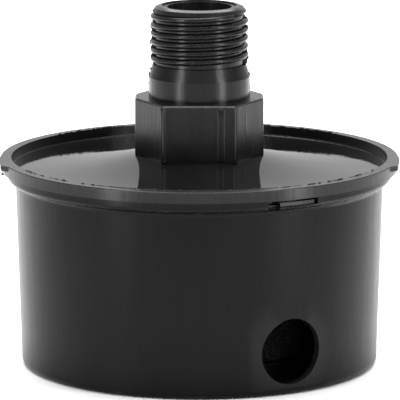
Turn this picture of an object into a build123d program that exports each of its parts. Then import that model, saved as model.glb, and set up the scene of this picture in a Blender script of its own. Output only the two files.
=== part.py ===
from build123d import *
import os
from math import cos, radians, sin, tan

# Compressor intake muffler: a threaded head twisted into a round canister, with a
# pleated filter cartridge hanging from the head's outlet spigot. Millimetres, +Z up
# along the port axis, origin at the centre of the canister's base. Azimuths count
# from -Y, the inlet side, towards +X.

# ---- canister ----
BASE_R = 38.3
WALL_TOP_R = 39.45
BASE_CORNER = 1.5
WALL = 1.9
FLOOR_Z = 2.0
COLLAR_R = 41.2
COLLAR_LOW_Z = 40.15
COLLAR_TOP_Z = 42.45
COLLAR_CORNER = 0.9
COVE = 1.1
LEDGE_Z = 40.6
SOCKET_R = 40.1
PORT_R = 7.0
PORT_Z = 9.3
PORT_AZ = 30.2
PORT_BREAK = 0.35
PORT_DRILL = 12.0
LOCATOR_R = 27.4
LOCATOR_WALL = 1.2
LOCATOR_TOP_Z = 4.8
GATE_R = 5.0
GATE_DEEP = 0.4
GATE_NUB_R = 1.3

# ---- head: rim, disc and ears ----
RIM_R = 42.66
RIM_LOW_Z = 42.5
RIM_TOP_Z = 44.9
RIM_EDGE = 0.15
RECESS_R = 40.35
RECESS_Z = 42.7
RECESS_COVE = 0.3
CROWN_R = 14.0
CROWN_Z = 45.5
PLUG_R = SOCKET_R - 0.1
PLUG_Z = 41.05
PLUG_IN_R = 36.0
PLATE = 2.0
UNDER_CROWN_R = 16.0
EAR_OUTLINE = [
    (42.55, 0.6),
    (42.85, -2.7),
    (42.55, -9.0),
    (42.1, -11.7),
    (40.4, -13.4),
    (39.2, -12.6),
    (40.75, -6.0),
    (41.2, 0.6),
]
EAR_THICK = 1.1
EAR_SLOPE = 0.85
EAR_TAPER = 50.0

# ---- twist lock ----
LUG_COUNT = 3
LUG_AZ = 30.1
LUG_ARC = 11.6
LUG_Z = 40.87
LUG_HIGH = 0.78
LUG_R = 40.65
RELIEF_DEEP = 1.5
RELIEF_TOP_Z = 42.15
WINDOW_FROM = 20.3
WINDOW_TO = 36.8
WINDOW_Z = 40.77
POCKET_ARC = 3.8
POCKET_Z = 40.2
LIP_Z = 42.1
LIP_TO = 30.5
TWIST = 16.0
TRACK_R = 40.8
TRACK_SLACK = 0.8
STOP_AZ = -92.0
STOP_ARC = 8.0
STOP_IN_R = 41.35
STOP_OUT_R = 42.5
STOP_LOW_Z = 40.85
STOP_RIB_ARC = 2.5

# ---- head: hexagon, neck and G 1/2 thread ----
HEX_AF = 27.0
HEX_TRIM_X = 13.75
HEX_TOP_Z = 57.9
HEX_EDGE = 1.0
HEX_RIM_BREAK = 0.35
NECK_R = 10.85
NECK_TOP_Z = 62.3
RUNOUT_Z = 65.0
RUNOUT_R = 10.05
THREAD_R = 20.955 / 2
THREAD_PITCH = 25.4 / 14
THREAD_DEPTH = 1.0
THREAD_ROOT_HALF = 0.76
THREAD_CREST = 0.566
THREAD_HALF_ANGLE = radians(20)
THREAD_FRONT_Z = 75.65
THREAD_TURNS = 5.63
THREAD_TURNS_TO_FRONT = 5.5
THREAD_SUNK = 0.15
TOP_Z = 77.5
LEAD_Z = 75.9
TOP_FACE_R = 8.75
NOSE_R = 10.1
NOSE_IN_R = 8.0
NOSE_LOW_Z = 75.8
NOSE_Z = 76.35
NOSE_TIP_R = 9.55
NOSE_TIP_Z = 77.1
BORE_R = 6.9

# ---- head: underside ----
SPIGOT_R = 9.2
SPIGOT_GAP = 0.05
SPIGOT_END_Z = 33.0
SHOULDER_R = 13.0
RIB_COUNT = 6
RIB_THICK = 1.4
RIB_R = 34.0
RIB_Z = 40.7
RIB_HIGH = 1.6

# ---- seals and pads ----
GASKET_IN_R = 37.75
GASKET_OUT_R = 39.4
CARTRIDGE_GASKET = 1.2
BASE_PAD_R = 27.0
PAD_GAP = 0.3

# ---- cartridge ----
CAP_R = 25.0
CAP_THICK = 3.0
BOTTOM_CAP_Z = 5.4
TOP_CAP_Z = 36.4
MEDIA_LOW_Z = BOTTOM_CAP_Z + CAP_THICK
CORE_OUT_R = 11.0
CORE_WALL = 0.6
CORE_COLUMNS = 10
CORE_ROWS = 5
CORE_HOLE_R = 1.6
PLEATS = 36
PLEAT_IN_R = 11.3
PLEAT_OUT_R = 23.4
PAPER = 0.6
OUTER_FOLD_DEG = (0.9, 0.1)
INNER_FOLD_DEG = (3.7, 1.1)
GUARD_OUT_R = 24.8
GUARD_WALL = 0.5
GUARD_COLUMNS = 20
GUARD_ROWS = 3
GUARD_SLOT = 2.6
CLIP_IN_R = 21.0
CLIP_OUT_R = 24.1
CLIP_HALF = 1.1
CLIP_SLOT_HALF = 0.58
FOAM_IN_R = 25.05
FOAM_OUT_R = 30.0


def cylinder(radius, low, high):
    bottom = (Align.CENTER, Align.CENTER, Align.MIN)
    return Pos(0, 0, low) * Cylinder(radius, high - low, align=bottom)


def ring(inner, outer, low, high):
    return cylinder(outer, low, high) - cylinder(inner, low, high)


def turned(edges):
    """Full turn about Z of a closed outline of edges drawn with r on X and height on Z."""
    return revolve(make_face(edges), Axis.Z, 360)


def turned_polygon(points):
    return turned(Polyline(*[(r, 0, z) for r, z in points], close=True))


def sector(inner, outer, low, high, start, arc):
    """Piece of a ring that starts at an azimuth and runs on by an arc, in degrees."""
    corners = [(inner, 0, low), (outer, 0, low), (outer, 0, high), (inner, 0, high)]
    piece = revolve(make_face(Polyline(*corners, close=True)), Axis.Z, arc)
    return Rot(0, 0, start - 90) * piece


def round_the_lock(shape):
    """The same shape at each of the twist lock's stations."""
    return [Rot(0, 0, 360 / LUG_COUNT * index) * shape for index in range(LUG_COUNT)]


def canister_shell():
    """Outside and inside of the moulded cup, without its lock, port or floor details."""
    in_low = BASE_R - WALL
    in_top = WALL_TOP_R - WALL
    cove_z = COLLAR_LOW_Z - COVE
    base = (BASE_R - BASE_CORNER, 0, 0)
    corner = (BASE_R, 0, BASE_CORNER)
    wall_top = (WALL_TOP_R, 0, cove_z)
    cove_top = (WALL_TOP_R + COVE, 0, COLLAR_LOW_Z)
    collar = (COLLAR_R, 0, COLLAR_LOW_Z + COLLAR_CORNER)
    rest = [
        collar,
        (COLLAR_R, 0, COLLAR_TOP_Z),
        (SOCKET_R, 0, COLLAR_TOP_Z),
        (SOCKET_R, 0, LEDGE_Z),
        (in_top, 0, LEDGE_Z),
        (in_low, 0, FLOOR_Z),
        (0, 0, FLOOR_Z),
        (0, 0, 0),
        base,
    ]
    edges = TangentArc(base, corner, tangent=(1, 0, 0))
    edges += Line(corner, wall_top)
    edges += TangentArc(wall_top, cove_top, tangent=(0, 0, 1))
    edges += TangentArc(cove_top, collar, tangent=(1, 0, 0.4))
    edges += Polyline(*rest)
    return turned(edges)


def side_port():
    """Radial inlet hole with a broken outer edge."""
    wall_r = BASE_R + (WALL_TOP_R - BASE_R) * PORT_Z / COLLAR_LOW_Z
    drill = Cylinder(PORT_R, PORT_DRILL)
    drill += Pos(0, 0, PORT_BREAK) * Cone(PORT_R - PORT_BREAK, PORT_R + 3 * PORT_BREAK, 4 * PORT_BREAK)
    return Rot(0, 0, PORT_AZ) * Pos(0, -wall_r, PORT_Z) * Rot(90, 0, 0) * drill


def lock_cuts():
    """Entry track, window and pocket for one lug of the head."""
    entry_half = LUG_ARC / 2 + TRACK_SLACK
    entry_mid = LUG_AZ - TWIST
    inner = SOCKET_R - 0.2
    above = COLLAR_TOP_Z + 1
    entry = sector(inner, TRACK_R, WINDOW_Z, above, entry_mid - entry_half, 2 * entry_half)
    under_lip = sector(inner, TRACK_R, WINDOW_Z, LIP_Z, entry_mid, WINDOW_FROM - entry_mid + 1)
    low_part = sector(inner, COLLAR_R + 1, WINDOW_Z, LIP_Z, WINDOW_FROM, WINDOW_TO - WINDOW_FROM)
    open_part = sector(inner, COLLAR_R + 1, LIP_Z - 0.1, above, LIP_TO, WINDOW_TO - LIP_TO)
    pocket = sector(inner, COLLAR_R + 1, POCKET_Z, LIP_Z, WINDOW_FROM, POCKET_ARC)
    return [entry, under_lip, low_part, open_part, pocket]


def canister():
    """Moulded cup with its collar, side inlet and twist-lock windows."""
    cup = canister_shell()
    cup += ring(LOCATOR_R, LOCATOR_R + LOCATOR_WALL, FLOOR_Z - 0.1, LOCATOR_TOP_Z)
    gate = ring(GATE_NUB_R, GATE_R, 0, GATE_DEEP)
    gate += cylinder(GATE_NUB_R + 0.1, 0, GATE_DEEP / 4)
    rib_start = STOP_AZ - STOP_ARC / 2 - TWIST - 1 - STOP_RIB_ARC
    cup += sector(COLLAR_R - 0.2, STOP_OUT_R - 0.2, STOP_LOW_Z, COLLAR_TOP_Z, rib_start, STOP_RIB_ARC)
    cup -= gate
    cup -= side_port()
    for cut in lock_cuts():
        cup -= round_the_lock(cut)
    return cup


def thread_ridge():
    """Moulded helical ridge with a full round crest, starting towards +Y."""
    root_r = THREAD_R - THREAD_DEPTH
    slope = tan(THREAD_HALF_ANGLE)
    sunk_half = THREAD_ROOT_HALF + THREAD_SUNK * slope
    tangent_r = THREAD_R - THREAD_CREST * (1 - sin(THREAD_HALF_ANGLE))
    tangent_half = THREAD_CREST * cos(THREAD_HALF_ANGLE)
    low_root = (root_r - THREAD_SUNK, 0, -sunk_half)
    high_root = (root_r - THREAD_SUNK, 0, sunk_half)
    low_crest = (tangent_r, 0, -tangent_half)
    high_crest = (tangent_r, 0, tangent_half)
    edges = Line(low_root, low_crest)
    edges += ThreePointArc(low_crest, (THREAD_R, 0, 0), high_crest)
    edges += Line(high_crest, high_root)
    edges += Line(high_root, low_root)
    path = Helix(THREAD_PITCH, THREAD_TURNS * THREAD_PITCH, THREAD_R)
    start_z = THREAD_FRONT_Z - THREAD_TURNS_TO_FRONT * THREAD_PITCH
    return Pos(0, 0, start_z) * Rot(0, 0, 90) * sweep(make_face(edges), path=path, is_frenet=True)


def nose_ring():
    """Rounded nose that swallows the upper end of the ridge."""
    low_r = THREAD_R - THREAD_DEPTH - 0.1
    low_z = NOSE_LOW_Z - 0.3
    outer = [(low_r, low_z), (NOSE_R, NOSE_Z), (NOSE_TIP_R, NOSE_TIP_Z), (TOP_FACE_R, TOP_Z)]
    return turned_polygon([(NOSE_IN_R, low_z)] + outer + [(NOSE_IN_R, TOP_Z)])


def lead_in_cut():
    """Space outside the nose that the ridge's end must leave free."""
    clear = 0.02
    far_r = THREAD_R + 1
    lead = [(THREAD_R + clear, LEAD_Z), (NOSE_R + clear, NOSE_Z), (NOSE_TIP_R + clear, NOSE_TIP_Z)]
    return turned_polygon(lead + [(NOSE_TIP_R + clear, TOP_Z), (far_r, TOP_Z), (far_r, LEAD_Z)])


def port_stub():
    """Smooth neck, run-out cone, male thread and nose above the hexagon."""
    root_r = THREAD_R - THREAD_DEPTH
    neck = [(NECK_R, HEX_TOP_Z - 1), (NECK_R, NECK_TOP_Z), (RUNOUT_R, RUNOUT_Z), (root_r, RUNOUT_Z)]
    end_z = TOP_Z - 0.3
    stub = turned_polygon([(0, HEX_TOP_Z - 1)] + neck + [(root_r, end_z), (0, end_z)])
    stub += thread_ridge()
    stub += nose_ring()
    return stub - lead_in_cut()


def hexagon():
    """Spanner hexagon with its two side corners trimmed flat."""
    flats = RegularPolygon(HEX_AF / 2, 6, major_radius=False)
    flats = flats & Rectangle(2 * HEX_TRIM_X, 2 * HEX_AF)
    flats = fillet(flats.vertices(), HEX_EDGE)
    low = CROWN_Z - PLATE
    block = Pos(0, 0, low) * extrude(flats, HEX_TOP_Z - low)
    return chamfer(block.faces().sort_by(Axis.Z)[-1].edges(), HEX_RIM_BREAK)


def head_disc():
    """Rim, recessed and crowned disc, and the plug that enters the collar."""
    cove_in = (RECESS_R - RECESS_COVE, 0, RECESS_Z)
    cove_out = (RECESS_R, 0, RECESS_Z + RECESS_COVE)
    crown = (CROWN_R, 0, CROWN_Z)
    rest = [
        cove_out,
        (RECESS_R, 0, RIM_TOP_Z),
        (RIM_R - RIM_EDGE, 0, RIM_TOP_Z),
        (RIM_R, 0, RIM_TOP_Z - RIM_EDGE),
        (RIM_R, 0, RIM_LOW_Z),
        (PLUG_R, 0, RIM_LOW_Z),
        (PLUG_R, 0, PLUG_Z),
        (PLUG_IN_R, 0, PLUG_Z),
        (UNDER_CROWN_R, 0, CROWN_Z - PLATE),
        (0, 0, CROWN_Z - PLATE),
        (0, 0, CROWN_Z),
        crown,
    ]
    edges = TangentArc(cove_in, crown, tangent=(-1, 0, 0))
    edges += TangentArc(cove_in, cove_out, tangent=(1, 0, 0))
    edges += Polyline(*rest)
    return turned(edges)


def rim_ears():
    """Grip ears: straight-sided swellings of the rim on the inlet side of +X and -X."""
    face = make_face(Polyline(*EAR_OUTLINE, close=True))
    ear = Pos(0, 0, RIM_TOP_Z - EAR_THICK) * extrude(face, EAR_THICK)
    ear += Pos(0, 0, RIM_TOP_Z - EAR_THICK) * extrude(face, -EAR_SLOPE, taper=EAR_TAPER)
    return [ear, mirror(ear, Plane.YZ)]


def head_underside():
    """Outlet spigot, its shoulder and the stiffening ribs."""
    top = CROWN_Z - 0.5
    inner_end = SHOULDER_R - 0.2
    bar = Box(RIB_R - inner_end, RIB_THICK, RIB_HIGH, align=(Align.MIN, Align.CENTER, Align.MIN))
    rib = Pos(inner_end, 0, RIB_Z) * bar
    ribs = [Rot(0, 0, 360 / RIB_COUNT * index) * rib for index in range(RIB_COUNT)]
    shoulder_z = TOP_CAP_Z + CAP_THICK + CARTRIDGE_GASKET
    return [cylinder(SPIGOT_R, SPIGOT_END_Z, top), cylinder(SHOULDER_R, shoulder_z, top)] + ribs


def threaded_head():
    """One moulding: thread, neck, hexagon, disc, rim, lugs and outlet spigot."""
    head = head_disc()
    head += hexagon()
    head += port_stub()
    head += rim_ears()
    head += head_underside()
    lug_from = LUG_AZ - LUG_ARC / 2
    relief_arc = LUG_AZ + LUG_ARC / 2 - WINDOW_FROM
    relief_r = PLUG_R - RELIEF_DEEP
    relief = sector(relief_r, PLUG_R + 1, PLUG_Z - 1, RELIEF_TOP_Z, WINDOW_FROM, relief_arc)
    head -= round_the_lock(relief)
    lug = sector(PLUG_R - 0.5, LUG_R, LUG_Z, LUG_Z + LUG_HIGH, lug_from, LUG_ARC)
    lug += sector(relief_r - 0.2, PLUG_R - 0.3, PLUG_Z, LUG_Z + LUG_HIGH, lug_from, LUG_ARC)
    head += round_the_lock(lug)
    stop_from = STOP_AZ - STOP_ARC / 2
    head += sector(STOP_IN_R, STOP_OUT_R, STOP_LOW_Z, RIM_LOW_Z + 0.2, stop_from, STOP_ARC)
    head -= cylinder(BORE_R, SPIGOT_END_Z - 1, TOP_Z + 1)
    return head


def radial_cuts(radius, columns, heights, cutter):
    """Cutters standing radially around a tube, at each height."""
    cuts = []
    for row, height in enumerate(heights):
        offset = 180 / columns * (row % 2)
        for column in range(columns):
            turn = Rot(0, 0, 360 / columns * column + offset)
            cuts.append(turn * Pos(radius, 0, height) * Rot(0, 90, 0) * cutter)
    return cuts


def row_heights(low, high, rows):
    step = (high - low) / rows
    return [low + step * (row + 0.5) for row in range(rows)]


def inner_core():
    """Perforated centre tube of the cartridge."""
    tube = ring(CORE_OUT_R - CORE_WALL, CORE_OUT_R, MEDIA_LOW_Z, TOP_CAP_Z)
    heights = row_heights(MEDIA_LOW_Z + 1, TOP_CAP_Z - 1, CORE_ROWS)
    return tube - radial_cuts(CORE_OUT_R, CORE_COLUMNS, heights, Cylinder(CORE_HOLE_R, 4))


def outer_guard():
    """Slotted sleeve that guards the pleats."""
    tube = ring(GUARD_OUT_R - GUARD_WALL, GUARD_OUT_R, MEDIA_LOW_Z, TOP_CAP_Z)
    heights = row_heights(MEDIA_LOW_Z + 1, TOP_CAP_Z - 1, GUARD_ROWS)
    slot_high = (TOP_CAP_Z - MEDIA_LOW_Z - 2) / GUARD_ROWS - 2.0
    slot = Box(slot_high, GUARD_SLOT, 4)
    return tube - radial_cuts(GUARD_OUT_R, GUARD_COLUMNS, heights, slot)


def pleat_outline(radii, half_angles):
    """Closed star: half-angles in degrees at the outer fold, then at the inner fold."""
    points = []
    step = 360 / PLEATS
    outer_r, inner_r = radii
    outer_half, inner_half = half_angles
    for index in range(PLEATS):
        middle = step * index
        for radius, offset in (
            (outer_r, -outer_half),
            (outer_r, outer_half),
            (inner_r, inner_half),
            (inner_r, step - inner_half),
        ):
            angle = radians(middle + offset)
            points.append((radius * cos(angle), radius * sin(angle)))
    return make_face(Polyline(*points, close=True))


def pleated_media():
    """Star-folded filter paper between the end caps."""
    outside = pleat_outline((PLEAT_OUT_R, PLEAT_IN_R + PAPER), (OUTER_FOLD_DEG[0], INNER_FOLD_DEG[0]))
    inside = pleat_outline((PLEAT_OUT_R - PAPER, PLEAT_IN_R), (OUTER_FOLD_DEG[1], INNER_FOLD_DEG[1]))
    paper = extrude(outside - inside, TOP_CAP_Z - MEDIA_LOW_Z)
    return Pos(0, 0, MEDIA_LOW_Z) * paper


def seam_clip():
    """Channel that clamps the two paper ends at one outer fold."""
    middle_z = (MEDIA_LOW_Z + TOP_CAP_Z) / 2
    high = TOP_CAP_Z - MEDIA_LOW_Z
    middle_r = (CLIP_IN_R + CLIP_OUT_R) / 2
    channel = Pos(middle_r, 0, middle_z) * Box(CLIP_OUT_R - CLIP_IN_R, 2 * CLIP_HALF, high)
    slot_out_r = PLEAT_OUT_R + 0.05
    slot_in_r = CLIP_IN_R - 1
    slot_mid_r = (slot_in_r + slot_out_r) / 2
    channel -= Pos(slot_mid_r, 0, middle_z) * Box(slot_out_r - slot_in_r, 2 * CLIP_SLOT_HALF, high + 1)
    return channel


def top_end_cap():
    """Moulded cap with the bore that grips the outlet spigot."""
    return ring(SPIGOT_R + SPIGOT_GAP, CAP_R, TOP_CAP_Z, TOP_CAP_Z + CAP_THICK)


def bottom_end_cap():
    """Closed moulded cap with a shallow dish underneath."""
    cap = cylinder(CAP_R, BOTTOM_CAP_Z, MEDIA_LOW_Z)
    return cap - cylinder(CORE_OUT_R, BOTTOM_CAP_Z - 1, BOTTOM_CAP_Z + 1)


def cartridge_gasket():
    low = TOP_CAP_Z + CAP_THICK
    return ring(SPIGOT_R + SPIGOT_GAP, SHOULDER_R - 0.4, low, low + CARTRIDGE_GASKET)


def foam_sleeve():
    return ring(FOAM_IN_R, FOAM_OUT_R, BOTTOM_CAP_Z, TOP_CAP_Z + CAP_THICK)


def base_pad():
    return cylinder(BASE_PAD_R, FLOOR_Z, BOTTOM_CAP_Z - PAD_GAP)


def collar_gasket():
    return ring(GASKET_IN_R, GASKET_OUT_R, LEDGE_Z, PLUG_Z - 0.05)


NODES = {
    "canister": canister,
    "threaded_head": threaded_head,
    "collar_gasket": collar_gasket,
    "base_pad": base_pad,
    "cartridge_gasket": cartridge_gasket,
    "top_end_cap": top_end_cap,
    "bottom_end_cap": bottom_end_cap,
    "pleated_media": pleated_media,
    "inner_core": inner_core,
    "outer_guard": outer_guard,
    "seam_clip": seam_clip,
    "foam_sleeve": foam_sleeve,
}

os.makedirs("parts", exist_ok=True)
for node_name, make_node in NODES.items():
    export_step(make_node(), f"parts/{node_name}.step")
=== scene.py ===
import math
import random

import bpy
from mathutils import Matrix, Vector, noise


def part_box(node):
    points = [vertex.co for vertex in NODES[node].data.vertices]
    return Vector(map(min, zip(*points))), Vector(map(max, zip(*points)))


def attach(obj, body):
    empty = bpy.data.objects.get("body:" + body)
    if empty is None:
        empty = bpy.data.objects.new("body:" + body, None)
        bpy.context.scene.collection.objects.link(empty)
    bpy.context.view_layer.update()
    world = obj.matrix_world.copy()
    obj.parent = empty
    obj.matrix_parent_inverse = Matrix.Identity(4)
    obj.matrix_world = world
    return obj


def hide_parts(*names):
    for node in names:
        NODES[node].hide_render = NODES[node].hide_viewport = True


# Pneumatic intake muffler: black moulded canister and threaded head, with a filter
# cartridge inside. Metres, in the frame's own axes: +Z up, -Y the inlet side.

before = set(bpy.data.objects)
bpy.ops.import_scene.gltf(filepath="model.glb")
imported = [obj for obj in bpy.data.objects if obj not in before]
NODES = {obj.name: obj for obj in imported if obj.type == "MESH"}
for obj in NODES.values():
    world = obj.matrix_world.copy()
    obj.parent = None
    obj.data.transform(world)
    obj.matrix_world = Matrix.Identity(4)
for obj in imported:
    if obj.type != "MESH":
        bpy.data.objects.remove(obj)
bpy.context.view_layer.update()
MM = 0.001

# ---------------------------------------------------------------- node helpers


def new_material(name):
    mat = bpy.data.materials.new(name)
    mat.use_nodes = True
    tree = mat.node_tree
    shader = tree.nodes["Principled BSDF"]
    return mat, tree, shader


def coords(tree, scale=(1, 1, 1)):
    """Object coordinates in metres, stretched by a scale for each axis."""
    source = tree.nodes.new("ShaderNodeTexCoord")
    mapping = tree.nodes.new("ShaderNodeMapping")
    mapping.inputs["Scale"].default_value = scale
    tree.links.new(source.outputs["Object"], mapping.inputs["Vector"])
    return mapping.outputs["Vector"]


def noise_value(tree, vector, scale, detail=3.0, rough=0.5, distortion=0.0):
    node = tree.nodes.new("ShaderNodeTexNoise")
    node.inputs["Scale"].default_value = scale
    node.inputs["Detail"].default_value = detail
    node.inputs["Roughness"].default_value = rough
    node.inputs["Distortion"].default_value = distortion
    tree.links.new(vector, node.inputs["Vector"])
    return node.outputs["Fac"]


def spread(tree, value, low, high, out_low=0.0, out_high=1.0, smooth=False):
    """Maps the range low to high onto the range out_low to out_high."""
    node = tree.nodes.new("ShaderNodeMapRange")
    node.interpolation_type = "SMOOTHSTEP" if smooth else "LINEAR"
    node.inputs["From Min"].default_value = low
    node.inputs["From Max"].default_value = high
    node.inputs["To Min"].default_value = out_low
    node.inputs["To Max"].default_value = out_high
    tree.links.new(value, node.inputs["Value"])
    return node.outputs["Result"]


def math_node(tree, operation, first, second):
    node = tree.nodes.new("ShaderNodeMath")
    node.operation = operation
    for socket, value in zip(node.inputs, (first, second)):
        if isinstance(value, (int, float)):
            socket.default_value = value
        else:
            tree.links.new(value, socket)
    return node.outputs["Value"]


def ramp(tree, value, stops):
    """Colour ramp from (position, colour) stops."""
    node = tree.nodes.new("ShaderNodeValToRGB")
    elements = node.color_ramp.elements
    for element, (position, colour) in zip(elements, stops):
        element.position = position
        element.color = (*colour, 1.0)
    tree.links.new(value, node.inputs["Fac"])
    return node.outputs["Color"]


def mix_colour(tree, factor, first, second):
    node = tree.nodes.new("ShaderNodeMix")
    node.data_type = "RGBA"
    sockets = [s for s in node.inputs if s.type == "RGBA"]
    tree.links.new(factor, node.inputs["Factor"])
    for socket, value in zip(sockets, (first, second)):
        if isinstance(value, tuple):
            socket.default_value = (*value, 1.0)
        else:
            tree.links.new(value, socket)
    return [s for s in node.outputs if s.type == "RGBA"][0]


def bump(tree, shader, layers):
    """Chains (height, strength, distance in metres) layers into the shader's normal."""
    previous = None
    for height, strength, distance in layers:
        node = tree.nodes.new("ShaderNodeBump")
        node.inputs["Strength"].default_value = strength
        node.inputs["Distance"].default_value = distance
        tree.links.new(height, node.inputs["Height"])
        if previous is not None:
            tree.links.new(previous, node.inputs["Normal"])
        previous = node.outputs["Normal"]
    tree.links.new(previous, shader.inputs["Normal"])


# ------------------------------------------------------------------- materials

TINT = 1.03
WORN_PLASTIC = (0.02, 0.02, 0.021)
DISC_GLOSS = 0.18
DISC_TOP_Z = 45.5 * MM
DISC_FADE = 1 * MM
DISC_R = (39.8 * MM, 40.3 * MM)


def edge_wear(tree):
    """1 on sharp outer edges, 0 on flat faces."""
    geometry = tree.nodes.new("ShaderNodeNewGeometry")
    return spread(tree, geometry.outputs["Pointiness"], 0.52, 0.6, smooth=True)


def away_from_disc(tree):
    """DISC_GLOSS on the glossy sunk disc of the head, 1 on its satin parts."""
    place = tree.nodes.new("ShaderNodeSeparateXYZ")
    tree.links.new(coords(tree), place.inputs["Vector"])
    squares = [math_node(tree, "MULTIPLY", place.outputs[axis], place.outputs[axis]) for axis in "XY"]
    reach = math_node(tree, "ADD", squares[0], squares[1])
    above = spread(tree, place.outputs["Z"], DISC_TOP_Z, DISC_TOP_Z + DISC_FADE, DISC_GLOSS, 1.0, True)
    outside = spread(tree, reach, DISC_R[0] ** 2, DISC_R[1] ** 2, DISC_GLOSS, 1.0, True)
    return math_node(tree, "MAXIMUM", above, outside)


def black_plastic(name, rough, tones, ior, draw, sink, grain, glossy_disc=False):
    """Moulded polypropylene: draw marks down the sides, faint sink waves, fine grain."""
    mat, tree, shader = new_material(name)
    streaks = noise_value(tree, coords(tree, (900, 900, 22)), 1.0, 4.0, 0.6)
    broad = noise_value(tree, coords(tree, (70, 70, 16)), 1.0, 3.0, 0.5, 0.4)
    fine = noise_value(tree, coords(tree), 5200.0, 2.0)
    scuffs = noise_value(tree, coords(tree), 260.0, 6.0, 0.72)
    dark, light = [(tone, tone, tone * TINT) for tone in tones]
    body = ramp(tree, broad, [(0.3, dark), (0.7, light)])
    worn_share = math_node(tree, "MULTIPLY", edge_wear(tree), 0.5)
    tree.links.new(mix_colour(tree, worn_share, body, WORN_PLASTIC), shader.inputs["Base Color"])
    base = spread(tree, broad, 0.3, 0.7, rough * 0.85, rough * 1.15)
    lines = spread(tree, streaks, 0.35, 0.75, -0.03, 0.05)
    marks = spread(tree, scuffs, 0.62, 0.8, 0.0, 0.12)
    total = math_node(tree, "ADD", math_node(tree, "ADD", base, lines), marks)
    if glossy_disc:
        satin = away_from_disc(tree)
        total = math_node(tree, "MULTIPLY", total, satin)
        streaks = math_node(tree, "MULTIPLY", streaks, satin)
    tree.links.new(total, shader.inputs["Roughness"])
    shader.inputs["IOR"].default_value = ior
    bump(tree, shader, [(broad, sink, 0.6 * MM), (streaks, draw, 0.06 * MM), (fine, grain, 0.02 * MM)])
    return mat


def rubber(name, low, high, rough=0.55):
    """Cloudy matte rubber or polyurethane with fine pores."""
    mat, tree, shader = new_material(name)
    cloudy = noise_value(tree, coords(tree), 180.0, 5.0, 0.6)
    pores = noise_value(tree, coords(tree), 2600.0, 3.0)
    tree.links.new(ramp(tree, cloudy, [(0.3, low), (0.7, high)]), shader.inputs["Base Color"])
    dullness = spread(tree, cloudy, 0.3, 0.7, rough - 0.08, rough + 0.1)
    tree.links.new(dullness, shader.inputs["Roughness"])
    bump(tree, shader, [(cloudy, 0.15, 0.3 * MM), (pores, 0.3, 0.05 * MM)])
    return mat


def filter_paper(name):
    """Resin-bonded cellulose paper: felted fibres and blotches of dust."""
    mat, tree, shader = new_material(name)
    fibres = noise_value(tree, coords(tree, (2600, 2600, 900)), 1.0, 6.0, 0.7, 1.2)
    blotch = noise_value(tree, coords(tree), 210.0, 4.0)
    body = ramp(tree, fibres, [(0.3, (0.52, 0.44, 0.28)), (0.72, (0.78, 0.7, 0.52))])
    dusty = mix_colour(tree, spread(tree, blotch, 0.5, 0.75, 0.0, 0.45), body, (0.36, 0.3, 0.2))
    tree.links.new(dusty, shader.inputs["Base Color"])
    tree.links.new(spread(tree, fibres, 0.3, 0.7, 0.78, 0.95), shader.inputs["Roughness"])
    bump(tree, shader, [(fibres, 0.6, 0.06 * MM)])
    return mat


def zinc_steel(name):
    """Zinc-plated sheet: spangle, rolling marks and dull spots."""
    mat, tree, shader = new_material(name)
    spangle = tree.nodes.new("ShaderNodeTexVoronoi")
    spangle.inputs["Scale"].default_value = 420.0
    tree.links.new(coords(tree), spangle.inputs["Vector"])
    grey = tree.nodes.new("ShaderNodeRGBToBW")
    tree.links.new(spangle.outputs["Color"], grey.inputs["Color"])
    cells = grey.outputs["Val"]
    rolled = noise_value(tree, coords(tree, (300, 300, 3000)), 1.0, 3.0)
    dull = noise_value(tree, coords(tree), 120.0, 5.0, 0.65)
    body = ramp(tree, cells, [(0.1, (0.5, 0.51, 0.51)), (0.9, (0.68, 0.69, 0.68))])
    spotted = mix_colour(tree, spread(tree, dull, 0.55, 0.75, 0.0, 0.5), body, (0.36, 0.36, 0.35))
    tree.links.new(spotted, shader.inputs["Base Color"])
    tree.links.new(spread(tree, dull, 0.3, 0.75, 0.26, 0.52), shader.inputs["Roughness"])
    shader.inputs["Metallic"].default_value = 1.0
    bump(tree, shader, [(cells, 0.08, 0.05 * MM), (rolled, 0.2, 0.02 * MM)])
    return mat


def open_foam(name):
    """Charcoal reticulated foam: open cells in height, with painted shade darkening the cell hollows."""
    mat, tree, shader = new_material(name)
    cells = tree.nodes.new("ShaderNodeTexVoronoi")
    cells.feature = "DISTANCE_TO_EDGE"
    cells.inputs["Scale"].default_value = 900.0
    tree.links.new(coords(tree), cells.inputs["Vector"])
    walls = spread(tree, cells.outputs["Distance"], 0.02, 0.16, 1.0, 0.0, smooth=True)
    tint = noise_value(tree, coords(tree), 300.0, 4.0)
    strands = ramp(tree, tint, [(0.3, (0.005, 0.005, 0.005)), (0.7, (0.01, 0.01, 0.0105))])
    # Cell hollows take a near-black colour, as painted shade inside the open cells; the walls keep the
    # charcoal strand tones.
    body = mix_colour(tree, walls, (0.002, 0.002, 0.002), strands)
    tree.links.new(body, shader.inputs["Base Color"])
    tree.links.new(spread(tree, walls, 0.0, 1.0, 0.98, 0.8), shader.inputs["Roughness"])
    shader.inputs["Specular IOR Level"].default_value = 0.08
    bump(tree, shader, [(walls, 0.9, 0.4 * MM)])
    return mat


SHELL = black_plastic("black_shell_moulded", 0.26, (0.002, 0.004), 1.2, 0.05, 0.08, 0.05)
HEAD = black_plastic("black_head_moulded", 0.26, (0.004, 0.007), 1.34, 0.6, 0.08, 0.04, glossy_disc=True)
SEAL = rubber("seal_rubber_matte", (0.012, 0.012, 0.012), (0.026, 0.026, 0.027))
CAP = rubber("cap_polyurethane_blue", (0.04, 0.08, 0.13), (0.07, 0.13, 0.2), 0.45)
PAPER = filter_paper("filter_paper_resin")
STEEL = zinc_steel("zinc_steel_spangle")
FOAM = open_foam("open_foam_charcoal")

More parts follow.
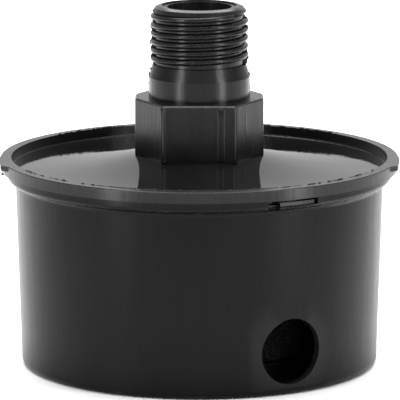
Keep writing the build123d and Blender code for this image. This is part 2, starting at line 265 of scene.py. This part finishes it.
FINISH = {
    "canister": SHELL,
    "threaded_head": HEAD,
    "collar_gasket": SEAL,
    "cartridge_gasket": SEAL,
    "top_end_cap": CAP,
    "bottom_end_cap": CAP,
    "pleated_media": PAPER,
    "inner_core": STEEL,
    "outer_guard": STEEL,
    "seam_clip": STEEL,
}
for node_name, finish in FINISH.items():
    for material_slot in NODES[node_name].material_slots:
        material_slot.material = finish

# ------------------------------------------------------------- modelled pieces


def make_piece(name, vertices, faces, material, smooth=True):
    mesh = bpy.data.meshes.new(name)
    mesh.from_pydata(vertices, [], faces)
    mesh.validate()
    mesh.update()
    if smooth:
        mesh.shade_smooth()
    piece = bpy.data.objects.new(name, mesh)
    bpy.context.scene.collection.objects.link(piece)
    mesh.materials.append(material)
    return piece


# ---- foam sleeve round the cartridge

SLEEVE_BORE_R = 25.1 * MM
SLEEVE_CORNER = 0.9 * MM
SLEEVE_ACROSS = 5
SLEEVE_UP = 26
SLEEVE_STEPS = 220
SLEEVE_LUMP = 3.2 * MM
SLEEVE_DENT = 0.5 * MM
SLEEVE_DENT_FROM_R = 26 * MM
CORNER_DEGREES = (0, 30, 60, 90)


def on_circle(centre_x, centre_y, radius, degrees):
    """Point on a circle in its own plane."""
    turn = math.radians(degrees)
    return centre_x + radius * math.cos(turn), centre_y + radius * math.sin(turn)


def rounded_box(r0, r1, z0, z1, corner, across, up):
    """Outline of a rounded rectangle in (r, z), anticlockwise, its sides cut into steps."""
    corners = ((r1, z0, -90), (r1, z1, 0), (r0, z1, 90), (r0, z0, 180))
    inset = ((-1, 1), (-1, -1), (1, -1), (1, 1))
    arcs = []
    for (r, z, start), (sx, sz) in zip(corners, inset):
        centre = (r + sx * corner, z + sz * corner)
        arcs.append([on_circle(*centre, corner, start + turn) for turn in CORNER_DEGREES])
    points = []
    for index, (arc, cuts) in enumerate(zip(arcs, (up, across, up, across))):
        points += arc
        last = arc[-1]
        first = arcs[(index + 1) % 4][0]
        for step in range(1, cuts):
            t = step / cuts
            points.append((last[0] + (first[0] - last[0]) * t, last[1] + (first[1] - last[1]) * t))
    return points


def lump(x, y, z, size, depth):
    """Uneven push inwards, from 0 to depth, of a foam surface."""
    return depth * (noise.noise(Vector((x, y, z)) / size) - 1) * 0.5


def foam_tube(outline, steps):
    """Closed ring of outline points (r, z) around Z, dented on its outer side."""
    vertices = []
    for index in range(steps):
        angle = 2 * math.pi * index / steps
        for r, z in outline:
            if r > SLEEVE_DENT_FROM_R:
                r += lump(r * math.cos(angle), r * math.sin(angle), z, SLEEVE_LUMP, SLEEVE_DENT)
            vertices.append((r * math.cos(angle), r * math.sin(angle), z))
    count = len(outline)
    faces = []
    for index in range(steps):
        here = index * count
        there = (index + 1) % steps * count
        for k in range(count):
            nxt = (k + 1) % count
            faces.append((here + k, here + nxt, there + nxt, there + k))
    return vertices, faces


low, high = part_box("foam_sleeve")
outline = rounded_box(SLEEVE_BORE_R, high.x, low.z, high.z, SLEEVE_CORNER, SLEEVE_ACROSS, SLEEVE_UP)
sleeve = make_piece("foam_sleeve_cells", *foam_tube(outline, SLEEVE_STEPS), FOAM)
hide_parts("foam_sleeve")
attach(sleeve, "head_body")

# ---- foam pad under the cartridge

PAD_CORNER = 0.8 * MM
PAD_RINGS = 14
PAD_STEPS = 120
PAD_LUMP = 4 * MM
PAD_DENT = 0.35 * MM
PAD_MIDDLE_DIP = 0.2 * MM


def pad_profile(radius, z0, z1):
    """Half section of the pad in (r, z): out along the top, round the rim, back underneath."""
    flat_r = radius - PAD_CORNER
    profile = [(flat_r * k / PAD_RINGS, z1) for k in range(1, PAD_RINGS)]
    profile += [on_circle(flat_r, z1 - PAD_CORNER, PAD_CORNER, 90 - turn) for turn in CORNER_DEGREES]
    profile += [on_circle(flat_r, z0 + PAD_CORNER, PAD_CORNER, -turn) for turn in CORNER_DEGREES]
    profile += [(flat_r * (1 - k / PAD_RINGS), z0) for k in range(1, PAD_RINGS)]
    return profile


def foam_disc(profile, steps, z0, z1):
    """Closed disc turned from the profile, dented on its upper side."""
    vertices = []
    for r, z in profile:
        for index in range(steps):
            angle = 2 * math.pi * index / steps
            x, y = r * math.cos(angle), r * math.sin(angle)
            dent = lump(x, y, z, PAD_LUMP, PAD_DENT) if z > (z0 + z1) / 2 else 0
            vertices.append((x, y, z + dent))
    faces = []
    for row in range(len(profile) - 1):
        for index in range(steps):
            nxt = (index + 1) % steps
            a, b = row * steps + index, row * steps + nxt
            faces.append((a + steps, b + steps, b, a))
    top, bottom = len(vertices), len(vertices) + 1
    vertices += [(0, 0, z1 - PAD_MIDDLE_DIP), (0, 0, z0)]
    last = (len(profile) - 1) * steps
    for index in range(steps):
        nxt = (index + 1) % steps
        faces.append((top, index, nxt))
        faces.append((bottom, last + nxt, last + index))
    return vertices, faces


low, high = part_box("base_pad")
profile = pad_profile(high.x, low.z, high.z)
pad = make_piece("base_pad_cells", *foam_disc(profile, PAD_STEPS, low.z, high.z), FOAM)
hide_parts("base_pad")
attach(pad, "canister_body")

# ---- draw marks, as shallow rounded ribs on the hexagon

MARK_ROWS = 24
MARK_COLUMNS = 9
MARK_WANDER = 0.03 * MM
MARK_END_RISE = 0.35
MARK_FADE_ROWS = 3
MARK_SUNK = 0.01 * MM
MARK_ROOT = 0.4 * MM


def draw_mark(name, foot, out, half_width, proud, z_low, z_high, seed):
    """Shallow rounded rib that a worn mould leaves down one face of the hexagon."""
    draw = random.Random(seed)
    turn = math.radians(out)
    normal = Vector((math.sin(turn), -math.cos(turn), 0))
    across = Vector((math.cos(turn), math.sin(turn), 0))
    vertices = []
    for row in range(MARK_ROWS + 1):
        z = z_low + (z_high - z_low) * row / MARK_ROWS
        wander = draw.uniform(-MARK_WANDER, MARK_WANDER)
        fade = min(1.0, row / MARK_FADE_ROWS, (MARK_ROWS - row) / MARK_FADE_ROWS)
        crown = proud * (MARK_END_RISE + (1 - MARK_END_RISE) * fade)
        for column in range(MARK_COLUMNS):
            place = 2 * column / (MARK_COLUMNS - 1) - 1
            rise = crown * (1 - place * place) - MARK_SUNK
            point = Vector(foot) + across * (half_width * place + wander) + normal * rise
            vertices.append((point.x, point.y, z))
        for place in (1, -1):
            point = Vector(foot) + across * (half_width * place) - normal * MARK_ROOT
            vertices.append((point.x, point.y, z))
    width = MARK_COLUMNS + 2
    faces = [tuple(range(width))[::-1], tuple(MARK_ROWS * width + k for k in range(width))]
    for row in range(MARK_ROWS):
        lower, upper = row * width, (row + 1) * width
        for k in range(width):
            nxt = (k + 1) % width
            faces.append((lower + k, lower + nxt, upper + nxt, upper + k))
    piece = make_piece(name, vertices, faces, HEAD)
    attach(piece, "head_body")


draw_mark("draw_mark_front", (0.0046, -0.0135, 0), 0, 0.0009, 0.00022, 0.0458, 0.0572, 21)
draw_mark("draw_mark_side", (0.0098, -0.0099, 0), 60, 0.0006, 0.00012, 0.0462, 0.0566, 22)
draw_mark("draw_mark_corner", (-0.0077, -0.01345, 0), -30, 0.0006, 0.0002, 0.0456, 0.0574, 23)

# ---- torn flash along the parting line and the inner rim

THREAD_FLASH_LOW_Z = 58.5 * MM
THREAD_FLASH_STEP = 0.35 * MM
THREAD_FLASH_STATIONS = 50
THREAD_FLASH_CREST_R = (9.7 * MM, 10.6 * MM)
THREAD_FLASH_FOOT_R = 9.4 * MM
THREAD_FLASH_HALF = 0.12 * MM
NECK_FLASH_TOP_Z = 63.2 * MM
NECK_FLASH_R = 10.86 * MM
NECK_FLASH_MIDDLE_R = 10 * MM
NECK_FLASH_SHARE = 0.15

RIM_FLASH_STATIONS = 210
RIM_FLASH_CREST_Z = (44.86 * MM, 45.14 * MM)
RIM_FLASH_FOOT_Z = 44.7 * MM
RIM_FLASH_IN_R = 40.42 * MM
RIM_FLASH_CREST_R = 40.5 * MM
RIM_FLASH_OUT_R = 40.7 * MM


def ragged(draw, count, lowest, highest, hold=3):
    """Uneven heights that stay level for a few stations, as torn flash does."""
    heights = []
    while len(heights) < count:
        heights += [draw.uniform(lowest, highest)] * draw.randint(1, hold)
    return heights[:count]


def flash_strip(name, stations):
    """Closed thin blade; each station gives two foot points and one crest point."""
    vertices = [point for station in stations for point in station]
    faces = [(0, 1, 2), tuple(len(vertices) - k for k in (1, 2, 3))]
    for index in range(len(stations) - 1):
        base = 3 * index
        for k in range(3):
            nxt = (k + 1) % 3
            faces.append((base + k, base + 3 + k, base + 3 + nxt, base + nxt))
    piece = make_piece(name, vertices, faces, HEAD, smooth=False)
    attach(piece, "head_body")


def thread_flash(name, side, azimuth, seed):
    """Parting-line flash up one side of the neck and across the thread."""
    draw = random.Random(seed)
    crests = ragged(draw, THREAD_FLASH_STATIONS, *THREAD_FLASH_CREST_R)
    turn = math.radians(azimuth)
    out = Vector((side * math.cos(turn), -math.sin(turn), 0))
    half = Vector((-out.y, out.x, 0)) * THREAD_FLASH_HALF
    stations = []
    for index, crest in enumerate(crests):
        z = THREAD_FLASH_LOW_Z + THREAD_FLASH_STEP * index
        if z < NECK_FLASH_TOP_Z:
            crest = NECK_FLASH_R + (crest - NECK_FLASH_MIDDLE_R) * NECK_FLASH_SHARE
        up = Vector((0, 0, z))
        foot = out * THREAD_FLASH_FOOT_R + up
        stations.append([foot - half, foot + half, out * crest + up])
    flash_strip(name, stations)


def rim_flash(name, start, end, seed):
    """Torn edge on the inner rim, along the arc between two azimuths in degrees."""
    draw = random.Random(seed)
    crests = ragged(draw, RIM_FLASH_STATIONS, *RIM_FLASH_CREST_Z, 4)
    foot = Vector((0, 0, RIM_FLASH_FOOT_Z))
    stations = []
    for index, crest in enumerate(crests):
        turn = math.radians(start + (end - start) * index / (RIM_FLASH_STATIONS - 1))
        out = Vector((math.cos(turn), math.sin(turn), 0))
        top = out * RIM_FLASH_CREST_R + Vector((0, 0, crest))
        stations.append([out * RIM_FLASH_IN_R + foot, out * RIM_FLASH_OUT_R + foot, top])
    flash_strip(name, stations)


thread_flash("parting_flash_plus_x", 1, 4, 11)
thread_flash("parting_flash_minus_x", -1, 3, 12)
rim_flash("rim_flash_front", 205, 335, 31)
rim_flash("rim_flash_back", 40, 140, 32)

# ------------------------------------------------------------ studio and camera

SKY_FRONT = 0.06
SKY_BACK = 0.7
FRONT_BAND = 0.75
OVERHEAD = ((0, 0.15, 1), 26, 12, 1.6)
BEHIND = ((0, 1, 0.25), 50, 15, 0.2)


def lobe(tree, direction, axis, outer, inner, strength):
    """Soft patch of light around an axis, between two angles in degrees."""
    dot = tree.nodes.new("ShaderNodeVectorMath")
    dot.operation = "DOT_PRODUCT"
    dot.inputs[1].default_value = Vector(axis).normalized()
    tree.links.new(direction, dot.inputs[0])
    edge, core = math.cos(math.radians(outer)), math.cos(math.radians(inner))
    return spread(tree, dot.outputs["Value"], edge, core, 0.0, strength, True)


def studio_world():
    """Bright behind, dim in front, with a band above the horizon in front."""
    world = bpy.data.worlds.new("studio")
    bpy.context.scene.world = world
    world.use_nodes = True
    tree = world.node_tree
    background = tree.nodes["Background"]
    source = tree.nodes.new("ShaderNodeTexCoord")
    direction = source.outputs["Generated"]
    axes = tree.nodes.new("ShaderNodeSeparateXYZ")
    tree.links.new(direction, axes.inputs["Vector"])
    level = spread(tree, axes.outputs["Y"], -0.5, 0.8, SKY_FRONT, SKY_BACK, True)
    for patch in (OVERHEAD, BEHIND):
        level = math_node(tree, "ADD", level, lobe(tree, direction, *patch))
    from_below = spread(tree, axes.outputs["Z"], 0.2, 0.34, 0.0, FRONT_BAND, True)
    to_above = spread(tree, axes.outputs["Z"], 0.68, 0.8, 1.0, 0.0, True)
    in_front = spread(tree, axes.outputs["Y"], -0.3, 0.3, 1.0, 0.0, True)
    band = math_node(tree, "MULTIPLY", math_node(tree, "MULTIPLY", from_below, to_above), in_front)
    level = math_node(tree, "ADD", level, band)
    colour = tree.nodes.new("ShaderNodeCombineColor")
    for socket in colour.inputs:
        tree.links.new(level, socket)
    tree.links.new(colour.outputs["Color"], background.inputs["Color"])
    background.inputs["Strength"].default_value = 1.0


def area_light(name, place, target, size, energy):
    data = bpy.data.lights.new(name, "AREA")
    data.shape = "RECTANGLE"
    data.size, data.size_y = size
    data.energy = energy
    data.spread = math.radians(180)
    lamp = bpy.data.objects.new(name, data)
    lamp.location = place
    lamp.rotation_euler = (Vector(target) - Vector(place)).to_track_quat("-Z", "Y").to_euler()
    bpy.context.scene.collection.objects.link(lamp)
    lamp.visible_camera = False


STRIP_REACH = 0.2
STRIP_Z = 0.137
STRIP_LONG = 0.25


def strip_light(name, azimuth, width, energy):
    """Upright soft strip in front, at an azimuth from -Y towards +X in degrees."""
    angle = math.radians(azimuth)
    place = (STRIP_REACH * math.sin(angle), -STRIP_REACH * math.cos(angle), STRIP_Z)
    area_light(name, place, (0, 0, STRIP_Z), (width, STRIP_LONG), energy)


studio_world()
area_light("backdrop_light", (0, 0.42, 0.9), (0, 0.42, 0), (0.9, 1.2), 24)
strip_light("strip_light_left", -45, 0.036, 0.27)
strip_light("strip_light_right", 52, 0.04, 0.31)

FLOOR_HALF = 6.0
FLOOR_DARK = (0.84, 0.84, 0.84)
FLOOR_LIGHT = (0.88, 0.88, 0.88)
floor_mat, floor_tree, floor_shader = new_material("pale_floor")
floor_tone = noise_value(floor_tree, coords(floor_tree), 3.0, 2.0)
floor_colour = ramp(floor_tree, floor_tone, [(0.0, FLOOR_DARK), (1.0, FLOOR_LIGHT)])
floor_tree.links.new(floor_colour, floor_shader.inputs["Base Color"])
floor_shader.inputs["Roughness"].default_value = 0.9
corners = [(FLOOR_HALF * x, FLOOR_HALF * y, 0) for x, y in ((-1, -1), (1, -1), (1, 1), (-1, 1))]
floor = make_piece("floor", corners, [(0, 1, 2, 3)], floor_mat, smooth=False)

CAMERA_PITCH = 10.854
CAMERA_PLACE = (0.00014, -0.94037, 0.2155)
CAMERA_LENS = 400.7
CAMERA_SENSOR = 36.0
CAMERA_NEAR = 0.05
camera_data = bpy.data.cameras.new("camera")
camera_data.lens = CAMERA_LENS
camera_data.sensor_width = CAMERA_SENSOR
camera_data.clip_start = CAMERA_NEAR
camera = bpy.data.objects.new("camera", camera_data)
camera.location = CAMERA_PLACE
camera.rotation_euler = (math.radians(90 - CAMERA_PITCH), 0, 0)
bpy.context.scene.collection.objects.link(camera)
bpy.context.scene.camera = camera
bpy.context.scene.view_settings.view_transform = "Standard"
